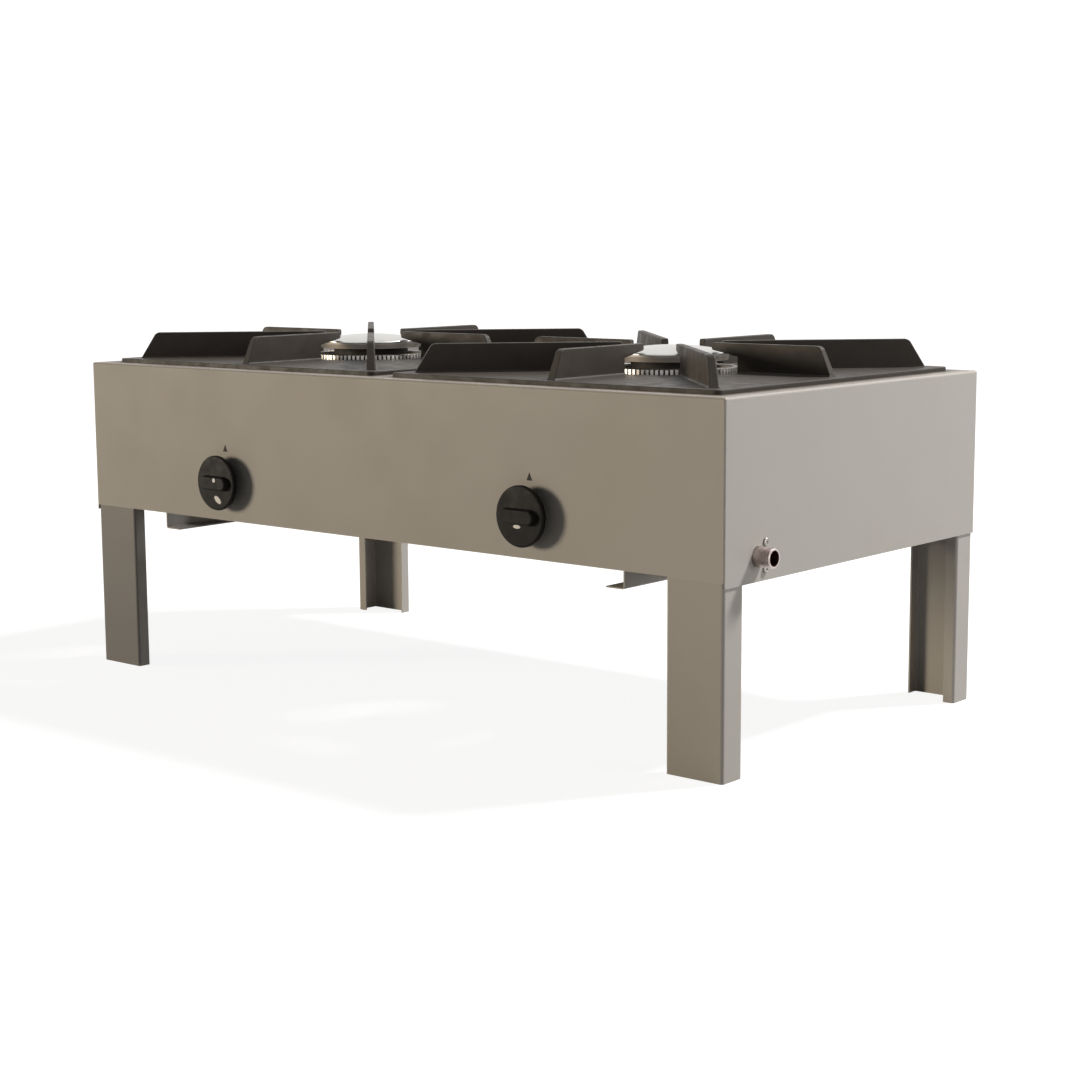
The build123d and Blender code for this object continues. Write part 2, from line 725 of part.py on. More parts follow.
tap_end = tap_rear + tap_outlet_length
seat_rear = plug_rear + plug_end_gap
saddle_top = knob_height - tap_radius + tap_bore
for side, burner_x in burner_places.items():
    section = Plane((burner_x, front, knob_height), x_dir=(0, 1, 0), z_dir=(1, 0, 0))
    face = facing_front(burner_x, front + tap_face)
    port = Plane((burner_x, pipe_y, knob_height))

    with BuildPart() as tap_body:
        add(turned(section, (
            (tap_face, 0),
            (tap_face, tap_radius),
            (tap_rear, tap_radius),
            (tap_rear, tap_outlet_radius),
            (tap_end, tap_outlet_radius),
            (tap_end, 0),
        )))
        with BuildSketch(face):
            RectangleRounded(bonnet_size, bonnet_size, bonnet_corner)
        extrude(amount=-bonnet_plate)
        with BuildSketch(Plane((burner_x, pipe_y, saddle_top))):
            Rectangle(saddle_width, saddle_depth)
        extrude(amount=-(saddle_top - pipe_height - saddle_gap))
        with BuildSketch(Plane((burner_x, pipe_y, pipe_height), x_dir=(0, 1, 0), z_dir=(1, 0, 0))):
            Circle(pipe_radius)
        extrude(amount=saddle_width, both=True, mode=Mode.SUBTRACT)
        add(turned(section, (
            (tap_face, 0),
            (tap_face, plug_front_radius + 2 * plug_end_gap),
            (plug_front, plug_front_radius + 2 * plug_end_gap),
            (plug_front, 0),
        )), mode=Mode.SUBTRACT)
        add(turned(section, plug_cone(running_clearance, seat_rear)), mode=Mode.SUBTRACT)
        add(turned(section, (
            (seat_rear, 0),
            (seat_rear, tap_bore),
            (tap_end - injector_thread, tap_bore),
            (tap_end - injector_thread, injector_radius),
            (tap_end, injector_radius),
            (tap_end, 0),
        )), mode=Mode.SUBTRACT)
        with BuildSketch(port):
            Circle(tap_bore)
        extrude(amount=-(knob_height - pipe_height), mode=Mode.SUBTRACT)
        with BuildSketch(face):
            with Locations((-bonnet_screw_span / 2, bonnet_screw_span / 2)):
                Circle(bonnet_screw_radius + running_clearance)
            with Locations((bonnet_screw_span / 2, -bonnet_screw_span / 2)):
                Circle(bonnet_screw_radius + running_clearance)
        extrude(amount=-bonnet_plate, mode=Mode.SUBTRACT)
        with BuildSketch(Plane((burner_x, pipe_y, pipe_height))):
            with GridLocations(0, clamp_screw_span, 1, 2):
                Circle(clamp_screw_radius + running_clearance)
        extrude(amount=saddle_top - pipe_height - screw_hole_clearance, mode=Mode.SUBTRACT)
    save(tap_body.part, f"tap_body_{side}")

    with BuildPart() as tap_bonnet:
        with BuildSketch(face):
            RectangleRounded(bonnet_size, bonnet_size, bonnet_corner)
            with Locations((-bonnet_screw_span / 2, bonnet_screw_span / 2)):
                Circle(bonnet_screw_radius + screw_hole_clearance, mode=Mode.SUBTRACT)
            with Locations((bonnet_screw_span / 2, -bonnet_screw_span / 2)):
                Circle(bonnet_screw_radius + screw_hole_clearance, mode=Mode.SUBTRACT)
        extrude(amount=bonnet_plate)
        add(turned(section, (
            (bonnet_nose, 0),
            (bonnet_nose, bonnet_nose_radius),
            (tap_face, bonnet_nose_radius),
            (tap_face, 0),
        )))
        add(turned(section, (
            (bonnet_nose, 0),
            (bonnet_nose, spindle_radius + spindle_clearance),
            (bonnet_nose + bonnet_face, spindle_radius + spindle_clearance),
            (bonnet_nose + bonnet_face, bonnet_bore),
            (tap_face, bonnet_bore),
            (tap_face, 0),
        )), mode=Mode.SUBTRACT)
    save(tap_bonnet.part, f"tap_bonnet_{side}")

    # The port faces left at rest, so a quarter turn to the left opens it downwards to the pipe.
    with BuildPart() as tap_plug:
        add(turned(section, plug_cone(0, plug_rear)))
        add(turned(section, (
            (pipe_setback - tap_bore, 0),
            (pipe_setback - tap_bore, tap_bore),
            (plug_rear, tap_bore),
            (plug_rear, 0),
        )), mode=Mode.SUBTRACT)
        with BuildSketch(Plane((burner_x, pipe_y, knob_height), x_dir=(0, 1, 0), z_dir=(-1, 0, 0))):
            Circle(tap_bore - low_port_radius)
        extrude(amount=plug_front_radius, mode=Mode.SUBTRACT)
        with BuildSketch(port):
            Circle(low_port_radius)
        extrude(amount=plug_front_radius, mode=Mode.SUBTRACT)
        with BuildSketch(facing_rear(burner_x, front + plug_front)):
            Rectangle(blade_thickness + 2 * blade_clearance, blade_width + 2 * blade_clearance)
        extrude(amount=blade_reach + press_travel + plug_slot_floor, mode=Mode.SUBTRACT)
    save(tap_plug.part, f"tap_plug_{side}")

    collar_front = bonnet_nose + bonnet_face + spindle_collar_gap
    collar_rear = collar_front + spindle_collar_length
    spindle_tip = knob_bore_depth + knob_gap - 2 * spindle_collar_gap
    with BuildPart() as tap_spindle:
        add(turned(section, (
            (-spindle_tip, 0),
            (-spindle_tip, spindle_radius),
            (collar_front, spindle_radius),
            (collar_front, spindle_collar_radius),
            (collar_rear, spindle_collar_radius),
            (collar_rear, spindle_stem_radius),
            (blade_front, spindle_stem_radius),
            (blade_front, 0),
        )))
        with BuildSketch(facing_rear(burner_x, front + blade_front)):
            Rectangle(blade_thickness, blade_width)
        extrude(amount=blade_rear - blade_front)
        with BuildSketch(facing_front(burner_x, front - spindle_tip)):
            with Locations((0, spindle_flat)):
                Rectangle(2 * spindle_radius, spindle_radius, align=(Align.CENTER, Align.MIN))
        extrude(amount=-spindle_tip, mode=Mode.SUBTRACT)
    save(tap_spindle.part, f"tap_spindle_{side}")

    spring_start = collar_rear + 2 * spring_wire
    with BuildLine() as coil:
        Helix(
            spring_pitch,
            spring_pitch * spring_turns,
            spring_radius,
            center=(burner_x, front + spring_start, knob_height),
            direction=(0, 1, 0),
        )
    with BuildPart() as tap_spring:
        with BuildSketch(Plane(coil.line @ 0, z_dir=coil.line % 0)):
            Circle(spring_wire)
        sweep(path=coil.line, is_frenet=True)
    save(tap_spring.part, f"tap_spring_{side}")

    with BuildPart() as injector:
        with BuildSketch(facing_rear(burner_x, front + tap_end)):
            RegularPolygon(injector_hex_radius, 6)
        extrude(amount=injector_hex_length)
        add(turned(section, (
            (tap_end - injector_thread, 0),
            (tap_end - injector_thread, injector_radius - running_clearance),
            (tap_end, injector_radius - running_clearance),
            (tap_end + injector_hex_length, injector_radius),
            (tap_end + injector_hex_length + injector_nose, injector_tip_radius),
            (tap_end + injector_hex_length + injector_nose, 0),
        )))
        add(turned(section, (
            (tap_end - injector_thread, 0),
            (tap_end - injector_thread, tap_bore),
            (tap_end + injector_hex_length, tap_bore),
            (tap_end + injector_hex_length, injector_jet),
            (tap_end + injector_hex_length + injector_nose, injector_jet),
            (tap_end + injector_hex_length + injector_nose, 0),
        )), mode=Mode.SUBTRACT)
    save(injector.part, f"injector_{side}")

    shutter_front = tube_mouth - shutter_lead
    shutter_inside = tube_radius + shutter_clearance
    shutter_outside = shutter_inside + shutter_wall
    with BuildPart() as air_shutter:
        add(turned(section, (
            (shutter_front, shutter_hole),
            (shutter_front, shutter_outside),
            (shutter_front + shutter_length, shutter_outside),
            (shutter_front + shutter_length, shutter_inside),
            (shutter_front + shutter_wall, shutter_inside),
            (shutter_front + shutter_wall, shutter_hole),
        )))
        with BuildSketch(facing_rear(burner_x, front + shutter_front)):
            with PolarLocations(tube_radius, shutter_windows, start_angle=45):
                Rectangle(tube_radius / 2, shutter_window_width)
        extrude(amount=shutter_window_length, mode=Mode.SUBTRACT)
    save(air_shutter.part, f"air_shutter_{side}")

    # Knob: a wide skirt on a narrower hub, with a grip bar across the front
    knob_section = Plane((burner_x, front, knob_height), x_dir=(0, -1, 0), z_dir=(-1, 0, 0))
    knob_face = facing_front(burner_x, front - knob_skirt_front)
    knob_back = facing_front(burner_x, front - knob_gap)
    with BuildPart() as knob:
        with BuildSketch(knob_section):
            with BuildLine():
                FilletPolyline(
                    (knob_gap, 0),
                    (knob_gap, knob_hub_radius),
                    (knob_skirt_back, knob_hub_radius),
                    (knob_skirt_back, knob_radius),
                    (knob_skirt_front, knob_radius),
                    (knob_skirt_front + knob_dome, 0),
                    radius=(0, 0, 0, knob_rim_radius, knob_rim_radius, 0),
                    close=True,
                )
            make_face()
        revolve(axis=Axis(knob_section.origin, knob_section.x_dir))
        with BuildSketch(knob_face):
            SlotOverall(grip_length, grip_width)
        extrude(amount=grip_height, taper=grip_taper)
        fillet(knob.faces().sort_by(Axis.Y)[0].edges(), grip_edge_radius)
        with BuildSketch(knob_back):
            Circle(spindle_radius + running_clearance)
            with Locations((0, spindle_flat + running_clearance)):
                Rectangle(
                    2 * knob_radius,
                    knob_radius,
                    align=(Align.CENTER, Align.MIN),
                    mode=Mode.SUBTRACT,
                )
        extrude(amount=knob_bore_depth, mode=Mode.SUBTRACT)
    save(knob.part, f"knob_{side}")

with BuildPart() as bonnet_screws:
    bonnet_face_plane = facing_front(casing_x, front + tap_face - bonnet_plate)
    with BuildSketch(bonnet_face_plane):
        with GridLocations(burner_spacing, 0, 2, 1):
            with Locations((-bonnet_screw_span / 2, bonnet_screw_span / 2)):
                Circle(bonnet_screw_head)
            with Locations((bonnet_screw_span / 2, -bonnet_screw_span / 2)):
                Circle(bonnet_screw_head)
    extrude(amount=bonnet_screw_head_height)
    with BuildSketch(bonnet_face_plane):
        with GridLocations(burner_spacing, 0, 2, 1):
            with Locations((-bonnet_screw_span / 2, bonnet_screw_span / 2)):
                Circle(bonnet_screw_radius)
            with Locations((bonnet_screw_span / 2, -bonnet_screw_span / 2)):
                Circle(bonnet_screw_radius)
    extrude(amount=-bonnet_screw_length)
save(bonnet_screws.part, "bonnet_screws")

# Clamps that hold the taps' saddles to the pipe from below
clamp_top = pipe_height - saddle_gap
with BuildPart() as tap_clamps:
    with BuildSketch(Plane((casing_x, pipe_y, clamp_top))):
        with GridLocations(burner_spacing, 0, 2, 1):
            Rectangle(saddle_width, saddle_depth)
    extrude(amount=-saddle_thickness)
    with BuildSketch(pipe_mouth):
        Circle(pipe_radius)
    extrude(amount=-2 * casing_width, mode=Mode.SUBTRACT)
    with BuildSketch(Plane((casing_x, pipe_y, clamp_top))):
        with GridLocations(burner_spacing, clamp_screw_span, 2, 2):
            Circle(clamp_screw_radius + screw_hole_clearance)
    extrude(amount=-saddle_thickness, mode=Mode.SUBTRACT)
save(tap_clamps.part, "tap_clamps")

with BuildPart() as clamp_screws:
    with BuildSketch(Plane((casing_x, pipe_y, clamp_top - saddle_thickness))):
        with GridLocations(burner_spacing, clamp_screw_span, 2, 2):
            Circle(clamp_screw_head)
    extrude(amount=-clamp_screw_head_height)
    with BuildSketch(Plane((casing_x, pipe_y, clamp_top - saddle_thickness))):
        with GridLocations(burner_spacing, clamp_screw_span, 2, 2):
            Circle(clamp_screw_radius)
    extrude(amount=saddle_top - clamp_top + saddle_thickness - 2 * screw_hole_clearance)
save(clamp_screws.part, "clamp_screws")
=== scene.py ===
import math

import bmesh
import bpy
from mathutils import Matrix, Vector


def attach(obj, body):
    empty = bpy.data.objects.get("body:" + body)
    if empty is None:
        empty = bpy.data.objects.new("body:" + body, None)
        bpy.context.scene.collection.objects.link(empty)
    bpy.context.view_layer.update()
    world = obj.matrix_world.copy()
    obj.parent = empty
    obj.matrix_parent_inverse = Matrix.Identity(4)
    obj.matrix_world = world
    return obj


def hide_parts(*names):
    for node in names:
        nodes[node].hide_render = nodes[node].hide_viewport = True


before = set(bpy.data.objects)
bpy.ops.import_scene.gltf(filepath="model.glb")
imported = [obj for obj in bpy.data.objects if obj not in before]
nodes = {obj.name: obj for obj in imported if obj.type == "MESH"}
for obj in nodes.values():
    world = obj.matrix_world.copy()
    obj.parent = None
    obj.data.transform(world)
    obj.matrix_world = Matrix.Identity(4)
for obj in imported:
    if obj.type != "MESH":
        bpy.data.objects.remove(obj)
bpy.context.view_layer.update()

# Places on the object, in metres, that masks and carvings are set out from
BURNERS = {"left": -0.255, "right": 0.235}  # x of each burner's axis, and of the knob below it
MIDDLE_X = -0.010
BURNER_Y = 0.01225
FRONT = -0.24175
TAP_HEIGHT = 0.2548
CASING_TOP = 0.3923
CAP_EDGE = 0.4185
PLATE_HALF = 0.230
RING_SHADED = (0.068, 0.0725)  # painted shade inside the first radius, bare metal outside the second
MARK_BASE = 0.2920
MARK_HEIGHT = 0.0092
MARK_SLOPE = 0.45  # half width over height
PRINT_BLUR = 0.00012

# The inlet, in metres: a pipe along x with a thread on its end, and a screw above and below it
PIPE_Y = -0.18275
PIPE_HEIGHT = 0.227
PIPE_MOUTH = 0.510
PIPE_BORE = (0.0082, 0.0086)  # dark inside the first radius, bare tube outside the second
THREAD_RADIUS = 0.010478
THREAD_PITCH = 0.001814
THREAD_DEPTH = 0.0010
THREAD_SLOPE = 0.52  # half width of the groove over its depth
THREAD_START = 0.4965
THREAD_STEPS = 48  # per turn
CUTTER_RISE = 0.0005  # how far the groove's cutter stands out of the pipe
SCREW_Y = PIPE_Y + 0.013
SCREW_FACE = 0.4926
SCREWS = ((PIPE_HEIGHT - 0.01375, 0.5), (PIPE_HEIGHT + 0.01375, 1.1))  # height, turn of the recess
# How far each end of a recess is from the head's face, and its half length and half width there
RECESS_ENDS = ((0.0004, 0.0025, 0.00065), (-0.0013, 0.0012, 0.00035))

WELD = 1e-7  # points of a CAD mesh this close are one, in metres
SHARP = math.radians(28)  # edges turned by more than this stay crisp


def srgb(r, g, b):
    """A colour given as it looks on screen, 0 to 255, as the shader takes it."""
    def linear(c):
        c /= 255
        return c / 12.92 if c <= 0.04045 else ((c + 0.055) / 1.055) ** 2.4

    return (linear(r), linear(g), linear(b), 1.0)


class Tree:
    """A node tree that is built by calls."""

    def __init__(self, tree):
        self.tree = tree

    def join(self, source, target):
        """Feeds a socket from a node, or sets it where the source is a plain value."""
        if isinstance(source, bpy.types.NodeSocket):
            self.tree.links.new(source, target)
        else:
            target.default_value = source

    def add(self, kind, feeds=None, **settings):
        """Adds a node with its settings, and feeds its inputs by name or number."""
        node = self.tree.nodes.new(kind)
        for key, value in settings.items():
            setattr(node, key, value)
        for key, source in (feeds or {}).items():
            self.join(source, node.inputs[key])
        return node

    def maths(self, operation, a, b=0.0):
        return self.add("ShaderNodeMath", {0: a, 1: b}, operation=operation).outputs[0]

    def length(self, u, v):
        """How far a point is from the origin of two axes."""
        squares = [self.maths("MULTIPLY", part, part) for part in (u, v)]
        return self.maths("SQRT", self.maths("ADD", *squares))

    def span(self, value, low, high, to_low=0.0, to_high=1.0):
        """Eases from one level to another while the value goes from low to high."""
        feeds = {"Value": value, "From Min": low, "From Max": high}
        feeds |= {"To Min": to_low, "To Max": to_high}
        return self.add("ShaderNodeMapRange", feeds, interpolation_type="SMOOTHSTEP").outputs[0]

    def seen(self):
        """1 for rays that come straight from the camera, off a shiny surface or through glass."""
        path = self.add("ShaderNodeLightPath").outputs
        shiny = self.maths("MAXIMUM", path["Is Camera Ray"], path["Is Glossy Ray"])
        return self.maths("MAXIMUM", shiny, path["Is Transmission Ray"])


class Finish(Tree):
    """A material built up in layers: a base, then masks that tint, roughen and emboss it."""

    def __init__(self, name, colour, roughness, metallic=0.0, specular=0.5):
        self.material = bpy.data.materials.new(name)
        self.material.use_nodes = True
        super().__init__(self.material.node_tree)
        self.shader = self.tree.nodes["Principled BSDF"]
        self.shader.inputs["Base Color"].default_value = colour
        self.shader.inputs["Roughness"].default_value = roughness
        self.shader.inputs["Metallic"].default_value = metallic
        self.shader.inputs["Specular IOR Level"].default_value = specular
        self.colour = colour
        self.normal = None
        self.place = self.add("ShaderNodeTexCoord").outputs["Object"]
        self.x, self.y, self.z = self.add("ShaderNodeSeparateXYZ", {0: self.place}).outputs

    def noise(self, scale, detail=3.0, roughness=0.5):
        feeds = {"Vector": self.place, "Scale": scale, "Detail": detail, "Roughness": roughness}
        return self.add("ShaderNodeTexNoise", feeds).outputs["Fac"]

    def rims(self, radius):
        """1 along sharp edges, broken up as wear is, and 0 on the faces."""
        rounded = self.add("ShaderNodeBevel", {"Radius": radius}, samples=6).outputs[0]
        flat = self.add("ShaderNodeNewGeometry").outputs["Normal"]
        turned = self.add("ShaderNodeVectorMath", {0: rounded, 1: flat}, operation="DOT_PRODUCT")
        edge = self.span(turned.outputs["Value"], 0.86, 0.97, 1.0, 0.0)
        return self.maths("MULTIPLY", edge, self.span(self.noise(110.0), 0.40, 0.60, 0.15, 1.0))

    def tint(self, mask, colour):
        """Lays a colour over what is there where the mask is 1."""
        layers = {"Factor": mask, 6: self.colour, 7: colour}
        self.colour = self.add("ShaderNodeMix", layers, data_type="RGBA").outputs[2]
        self.join(self.colour, self.shader.inputs["Base Color"])

    def mottle(self, colour, scale, low, high, most, detail=4.0):
        """Patches of another colour, which grow in as the noise goes from low to high."""
        self.tint(self.span(self.noise(scale, detail), low, high, 0.0, most), colour)

    def rough(self, value):
        self.join(value, self.shader.inputs["Roughness"])

    def uneven(self, scale, least, most, high=0.7, detail=3.0):
        """Roughness that drifts from one level to another."""
        self.rough(self.span(self.noise(scale, detail), 0.3, high, least, most))

    def relief(self, height, distance, strength):
        feeds = {"Height": height, "Distance": distance, "Strength": strength}
        if self.normal is not None:
            feeds["Normal"] = self.normal
        self.normal = self.add("ShaderNodeBump", feeds).outputs[0]
        self.join(self.normal, self.shader.inputs["Normal"])

    def grain(self, scale, distance, strength, detail=3.0, roughness=0.5):
        self.relief(self.noise(scale, detail, roughness), distance, strength)

    def dress(self, *pieces):
        """Gives the finish to pieces, or to CAD nodes by their names."""
        for piece in pieces:
            mesh = (nodes[piece] if isinstance(piece, str) else piece).data
            mesh.materials.clear()
            mesh.materials.append(self.material)


def in_scene(name, data):
    """A new object in the scene."""
    thing = bpy.data.objects.new(name, data)
    bpy.context.scene.collection.objects.link(thing)
    return thing


def reshape(mesh, operation, part, **settings):
    """Runs one bmesh operation on all points or faces of a mesh."""
    shape = bmesh.new()
    shape.from_mesh(mesh)
    operation(shape, **{part: getattr(shape, part)}, **settings)
    shape.to_mesh(mesh)
    shape.free()


# Shapes cut into copies of the CAD solids: the inlet's thread and the screws' cross recesses
def cutter(name, corners, faces):
    """A closed solid whose faces look outwards."""
    mesh = bpy.data.meshes.new(name)
    mesh.from_pydata(corners, [], faces)
    mesh.validate()
    reshape(mesh, bmesh.ops.recalc_face_normals, "faces")
    return in_scene(name, mesh)


def thread_groove():
    """A V-shaped helical groove that gets to its depth in half a turn and runs out at the mouth."""
    outer = THREAD_RADIUS + CUTTER_RISE
    turns = (PIPE_MOUTH + 2 * THREAD_PITCH - THREAD_START) / THREAD_PITCH
    corners = []
    for step in range(int(THREAD_STEPS * turns)):
        turn = step / THREAD_STEPS
        root = THREAD_RADIUS - THREAD_DEPTH * min(1.0, 2 * turn - 0.2)
        half = THREAD_SLOPE * (outer - root)
        along = THREAD_START + THREAD_PITCH * turn
        angle = 2 * math.pi * turn
        for radius, shift in ((outer, -half), (root, 0.0), (outer, half)):
            y, z = PIPE_Y + radius * math.cos(angle), PIPE_HEIGHT + radius * math.sin(angle)
            corners.append((along + shift, y, z))
    last = len(corners) - 3
    faces = [(0, 1, 2), (last, last + 2, last + 1)]
    for ring in range(0, last, 3):
        for edge in range(3):
            after = (edge + 1) % 3
            faces.append((ring + edge, ring + edge + 3, ring + after + 3, ring + after))
    return cutter("thread_groove", corners, faces)


def recess_slot(height, turn):
    """A tapered slot across a screw's head, turned about its axis."""
    cosine, sine = math.cos(turn), math.sin(turn)
    corners = []
    for depth, half_long, half_wide in RECESS_ENDS:
        for u, v in ((-1, -1), (1, -1), (1, 1), (-1, 1)):
            u, v = u * half_long, v * half_wide
            y, z = SCREW_Y + u * cosine - v * sine, height + u * sine + v * cosine
            corners.append((SCREW_FACE + depth, y, z))
    faces = [(0, 1, 2, 3), (7, 6, 5, 4)]
    faces += [(i, i + 4, (i + 1) % 4 + 4, (i + 1) % 4) for i in range(4)]
    return cutter("recess_slot", corners, faces)


def carved(name, node, cutters):
    """A copy of a CAD node with shapes cut out of it, which stands for the node."""
    mesh = nodes[node].data.copy()
    reshape(mesh, bmesh.ops.remove_doubles, "verts", dist=WELD)
    piece = in_scene(name, mesh)
    for shape in cutters:
        cut = piece.modifiers.new("cut", "BOOLEAN")
        cut.operation = "DIFFERENCE"
        cut.solver = "EXACT"
        cut.object = shape
    evaluated = piece.evaluated_get(bpy.context.evaluated_depsgraph_get())
    result = bpy.data.meshes.new_from_object(evaluated)
    piece.modifiers.clear()
    piece.data = result
    for shape in cutters:
        bpy.data.objects.remove(shape)
    if "custom_normal" in result.attributes:  # the node's own normals don't suit the cut faces
        result.attributes.remove(result.attributes["custom_normal"])
    result.shade_smooth()
    result.set_sharp_from_angle(angle=SHARP)
    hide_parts(node)
    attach(piece, "casing")
    return piece


def beside_burner(finish):
    """How far a point is from the axis of the nearer burner, across and in depth."""
    beside = finish.maths("ABSOLUTE", finish.maths("SUBTRACT", finish.x, MIDDLE_X))
    across = finish.maths("SUBTRACT", beside, BURNERS["right"] - MIDDLE_X)
    return across, finish.maths("SUBTRACT", finish.y, BURNER_Y)


def from_burner(finish):
    """How far a point is from the axis of the nearer burner."""
    return finish.length(*beside_burner(finish))


# Casing, legs, bar and runners: baked paint with a fine orange-peel skin, and painted shade on the
# casing's top
def shade_casing_top(finish):
    """Painted shade on the casing's top: all of the top a little darker, and much darker close to
    the plates.
    """
    u, v = (finish.maths("ABSOLUTE", part) for part in beside_burner(finish))
    gap = finish.maths("SUBTRACT", finish.maths("MAXIMUM", u, v), PLATE_HALF)
    ragged = finish.maths("ADD", gap, finish.span(finish.noise(38.0), 0.3, 0.7, -0.002, 0.002))
    near = finish.span(ragged, 0.002, 0.019, 0.85, 0.0)
    on_top = finish.span(finish.z, CASING_TOP - 0.0006, CASING_TOP - 0.0002)
    # painted shade: the top darker all over, then darkest close to the plates
    finish.tint(finish.maths("MULTIPLY", on_top, 0.40), srgb(120, 109, 96))
    finish.tint(finish.maths("MULTIPLY", near, on_top), srgb(58, 48, 39))


def paint(name):
    finish = Finish(name, srgb(176, 172, 166), 0.45, specular=0.10)
    finish.mottle(srgb(171, 166, 157), scale=5.0, low=0.40, high=0.75, most=0.5)
    finish.mottle(srgb(162, 157, 148), scale=1400.0, low=0.60, high=0.75, most=0.35, detail=2.0)
    finish.tint(finish.rims(0.0012), srgb(196, 192, 184))
    shade_casing_top(finish)
    finish.uneven(scale=18.0, least=0.40, most=0.52, high=0.75)
    finish.grain(scale=520.0, distance=0.00004, strength=0.5, detail=2.0)
    finish.grain(scale=9.0, distance=0.0016, strength=0.08, detail=2.0)
    return finish


def print_marks(finish):
    """A small dark triangle above each knob, printed on the front."""
    rise = finish.maths("SUBTRACT", finish.z, MARK_BASE)
    above = finish.span(rise, -PRINT_BLUR, PRINT_BLUR)
    on_face = finish.span(finish.y, FRONT + 0.0002, FRONT + 0.0006, 1.0, 0.0)
    band = finish.maths("MULTIPLY", above, on_face)
    half = finish.maths("MULTIPLY", finish.maths("SUBTRACT", MARK_HEIGHT, rise), MARK_SLOPE)
    for knob_x in BURNERS.values():
        aside = finish.maths("ABSOLUTE", finish.maths("SUBTRACT", finish.x, knob_x))
        inside = finish.span(finish.maths("SUBTRACT", half, aside), -PRINT_BLUR, PRINT_BLUR)
        finish.tint(finish.maths("MULTIPLY", inside, band), srgb(38, 34, 30))


def shade_leg_fronts(finish):
    """Painted shade on the legs' fronts: darker than the panels, more so near the floor, and the
    left one's most.
    """
    low = finish.span(finish.z, 0.02, 0.25, 0.20, 0.08)
    left = finish.span(finish.x, -0.05, 0.05, 0.58, 0.0)
    on_face = finish.span(finish.y, FRONT + 0.0024, FRONT + 0.0040, 1.0, 0.0)
    leg_shade = finish.maths("MULTIPLY", finish.maths("ADD", low, left), on_face)
    # painted shade: a grey laid over the legs' fronts
    finish.tint(leg_shade, srgb(120, 118, 118))


front_paint = paint("casing_paint_printed")
print_marks(front_paint)
front_paint.dress("front_panel")
casing_paint = paint("casing_paint")
casing_paint.dress("rear_panel", "side_panel_left", "side_panel_right", "centre_bar")
casing_paint.dress("tray_runner_left", "tray_runner_right", "leg_rear_left", "leg_rear_right")
# the front legs' paint carries painted shade on their fronts
shaded_leg_paint = paint("front_leg_paint")
shade_leg_fronts(shaded_leg_paint)
shaded_leg_paint.dress("leg_front_left", "leg_front_right")


# Castings: sand-cast iron, grainy, with lighter worn rims
def cast_iron(name, colour, light, worn, roughness, specular):
    finish = Finish(name, colour, roughness, specular=specular)
    finish.mottle(light, scale=14.0, low=0.35, high=0.70, most=0.8)
    finish.mottle(light, scale=900.0, low=0.58, high=0.72, most=0.6, detail=2.0)
    finish.tint(finish.rims(0.0007), worn)
    finish.uneven(scale=60.0, least=roughness - 0.07, most=roughness + 0.10)
    finish.grain(scale=620.0, distance=0.00012, strength=0.30, detail=4.0, roughness=0.65)
    return finish


enamel = cast_iron(
    "enamelled_casting", srgb(60, 55, 50), light=srgb(69, 64, 59), worn=srgb(88, 82, 77),
    roughness=0.46, specular=0.16,
)
enamel.dress("pan_support_left", "pan_support_right")
burner_iron = cast_iron(
    "burner_casting", srgb(40, 36, 34), light=srgb(58, 50, 45), worn=srgb(84, 76, 70),
    roughness=0.65, specular=0.30,
)
burner_iron.dress("burner_body_left", "burner_body_right")


# Bare metals: machined or plated, with faint stains, bright rims and a fine grain
def bare_metal(name, colour, roughness, edge=0.0006):
    finish = Finish(name, colour, roughness, metallic=1.0)
    stain = tuple(0.72 * part for part in colour[:3]) + (1.0,)
    bright = tuple(min(1.0, 1.25 * part) for part in colour[:3]) + (1.0,)
    finish.mottle(stain, scale=30.0, low=0.45, high=0.75, most=0.5)
    finish.tint(finish.rims(edge), bright)
    finish.uneven(scale=160.0, least=roughness - 0.06, most=roughness + 0.10, detail=4.0)
    finish.grain(scale=900.0, distance=0.00002, strength=0.5)
    return finish


def turning_lines(finish, pitch, depth):
    """Fine rings left by the lathe round the burner's axis."""
    feeds = {"W": from_burner(finish), "Scale": 1.0 / pitch, "Detail": 2.0}
    rings = finish.add("ShaderNodeTexNoise", feeds, noise_dimensions="1D")
    finish.relief(rings.outputs["Fac"], depth, 0.6)


cap_aluminium = bare_metal("cap_aluminium", srgb(207, 205, 200), 0.30, edge=0.0002)
turning_lines(cap_aluminium, pitch=0.0006, depth=0.00002)
# painted reflection: the cap's side band below its edge darker, for the dark castings it mirrors,
# and rougher there
dark_side_band = cap_aluminium.span(cap_aluminium.z, CAP_EDGE - 0.0050, CAP_EDGE - 0.0010, 0.95, 0.0)
cap_aluminium.tint(dark_side_band, srgb(122, 115, 108))
cap_aluminium.rough(cap_aluminium.span(dark_side_band, 0.0, 0.95, 0.30, 0.55))
cap_aluminium.dress("burner_cap_left", "burner_cap_right")

ring_aluminium = bare_metal("ring_aluminium", srgb(214, 211, 206), 0.36)
turning_lines(ring_aluminium, pitch=0.0008, depth=0.00003)
# painted shade: the ring's top inside the first radius dark, dull and not metallic
painted_shade_inside = ring_aluminium.span(from_burner(ring_aluminium), *RING_SHADED, 1.0, 0.0)
bare_outside = ring_aluminium.maths("SUBTRACT", 1.0, painted_shade_inside)
ring_aluminium.tint(painted_shade_inside, srgb(92, 84, 77))
ring_aluminium.rough(ring_aluminium.maths("MAXIMUM", painted_shade_inside, 0.36))
ring_aluminium.join(bare_outside, ring_aluminium.shader.inputs["Metallic"])
ring_aluminium.dress("flame_ring_left", "flame_ring_right")

